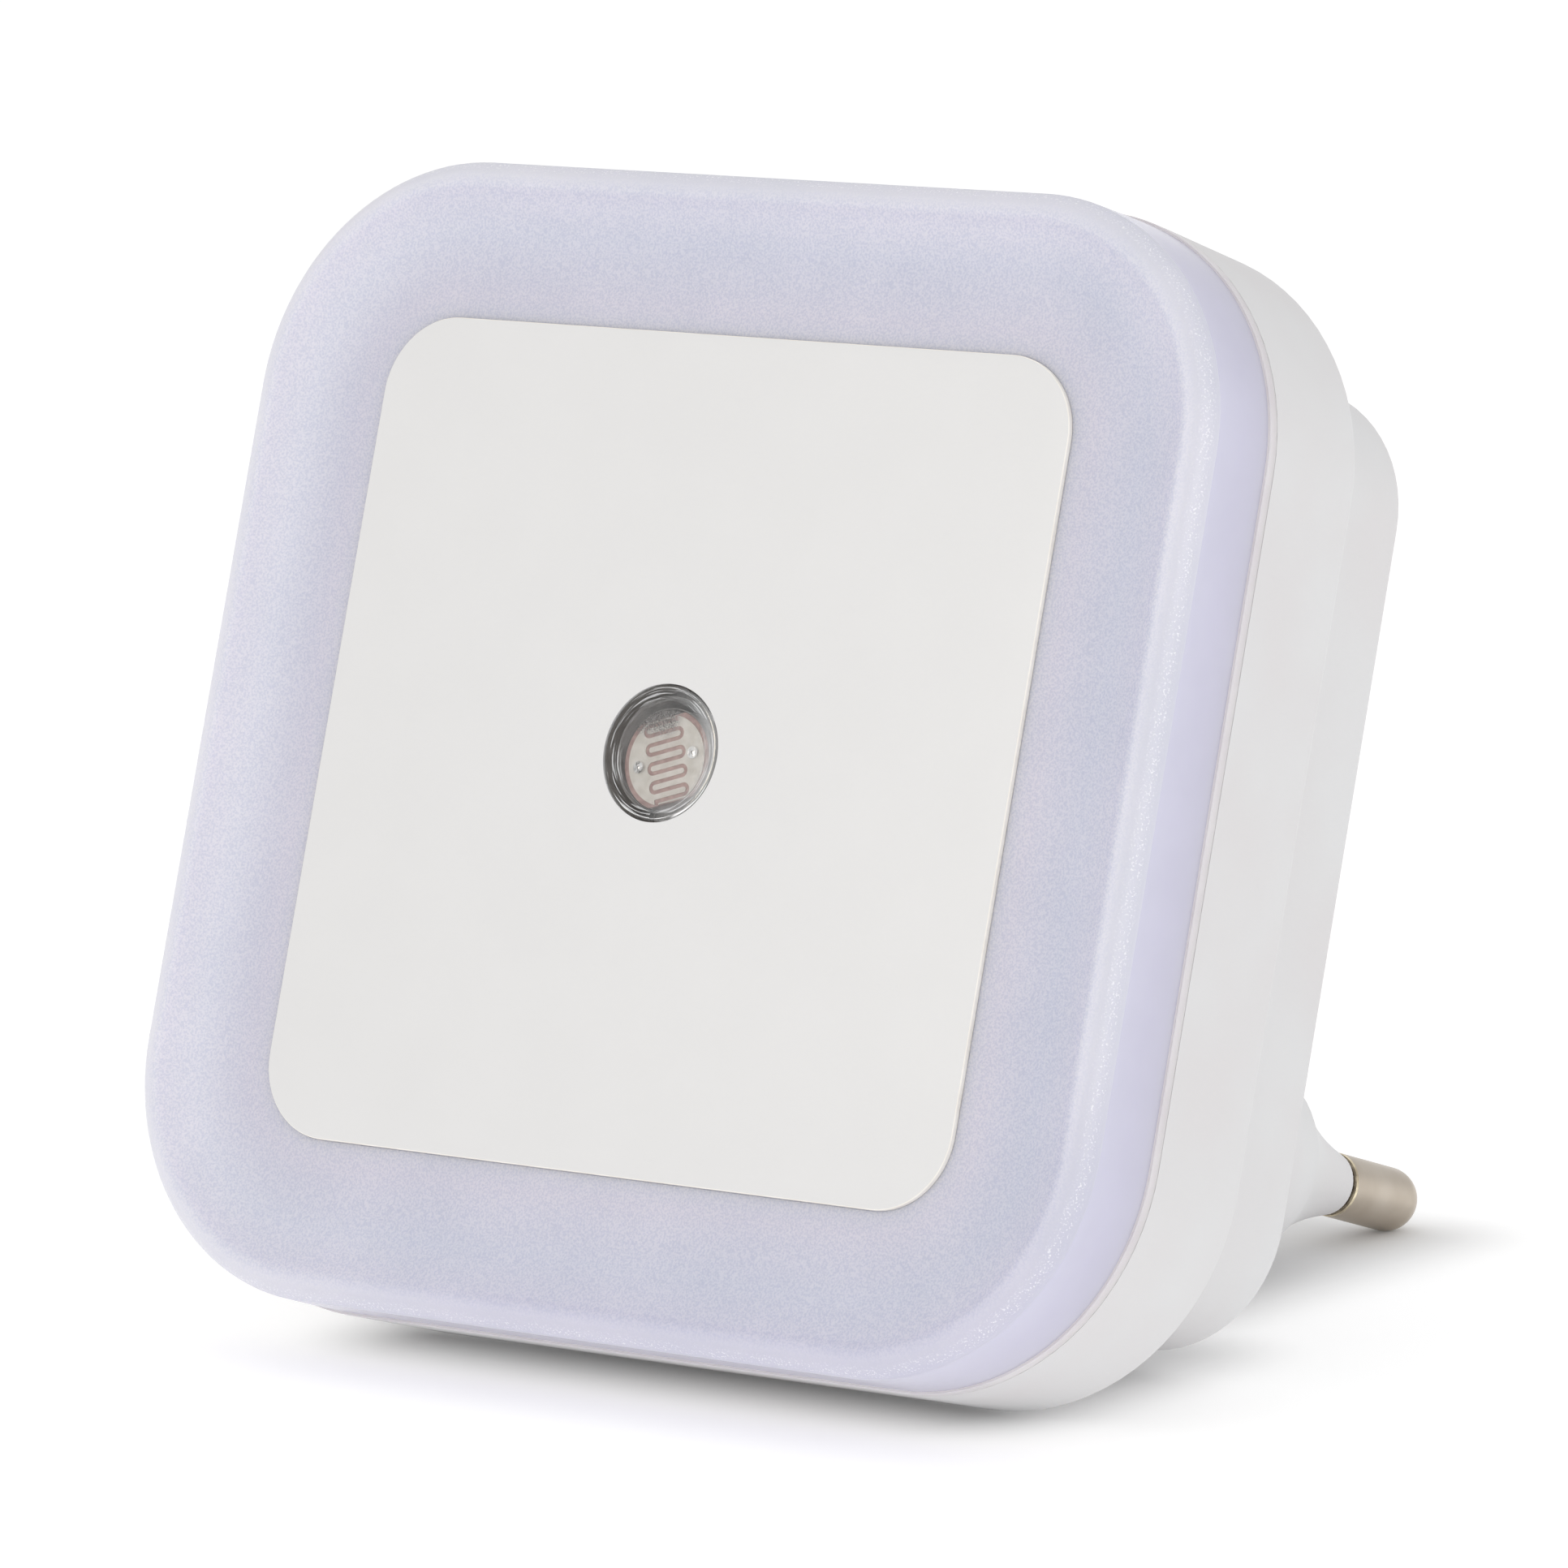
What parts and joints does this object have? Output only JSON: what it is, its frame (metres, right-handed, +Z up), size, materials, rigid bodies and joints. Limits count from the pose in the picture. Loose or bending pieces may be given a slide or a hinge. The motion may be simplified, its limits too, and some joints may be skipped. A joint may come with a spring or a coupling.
{
  "type": "plug-in night light",
  "caption": "Square plug-in LED night light with a light sensor in its face, a luminous diffuser rim and a two-pin mains plug on its stepped rear housing.",
  "frame": {"origin": "midway between the two plug pins' axes, on the end face of the plug stem, where the socket's floor meets it", "axes": "+X to the right seen from the room, +Y into the wall along the pins, +Z up"},
  "size_m": [0.068, 0.0717, 0.068],
  "materials": {
    "housing_white": "moulded polycarbonate with a very fine spark texture",
    "diffuser_milky": "milky light-scattering plastic, fine-textured on the face and smooth on the rim",
    "panel_white": "opaque white, satin",
    "window_clear": "clear moulded plastic",
    "shroud_dark": "dark moulded",
    "sensor_film": "sintered, brownish pink",
    "electrode_metal": "evaporated metal film, satin",
    "pin_nickel": "nickel-plated brass, turned",
    "tag_brass": "stamped",
    "lead_tin": "tinned",
    "board_green": "solder mask on glass laminate",
    "led_body": "white body with a phosphor fill",
    "film_cap_body": "resin-filled box",
    "can_sleeve": "shrunk sleeve",
    "black_epoxy": "moulded epoxy",
    "zener_glass": "glass bead",
    "resistor_green": "flameproof lacquer",
    "resistor_tan": "lacquer",
    "wire_brown": "soft insulation",
    "wire_blue": "soft insulation",
    "screw_steel": "zinc-plated"
  },
  "bodies": {
    "root": {"rear_housing": "housing_white", "diffuser_frame": "diffuser_milky", "front_panel": "panel_white", "sensor_window": "window_clear", "sensor_shroud": "shroud_dark", "light_sensor": "sensor_film", "sensor_electrodes": "electrode_metal", "sensor_leads": "lead_tin", "circuit_board": "board_green", "led_lamps": "led_body", "film_capacitor": "film_cap_body", "smoothing_capacitor": "can_sleeve", "rectifier_diodes": "black_epoxy", "zener_diode": "zener_glass", "switching_transistor": "black_epoxy", "fuse_resistor": "resistor_green", "bleed_resistor": "resistor_tan", "chip_resistors": "black_epoxy", "live_wire": "wire_brown", "neutral_wire": "wire_blue", "plug_pin_left": "pin_nickel", "plug_pin_right": "pin_nickel", "pin_tags": "tag_brass", "board_screws": "screw_steel"}
  },
  "joints": []
}
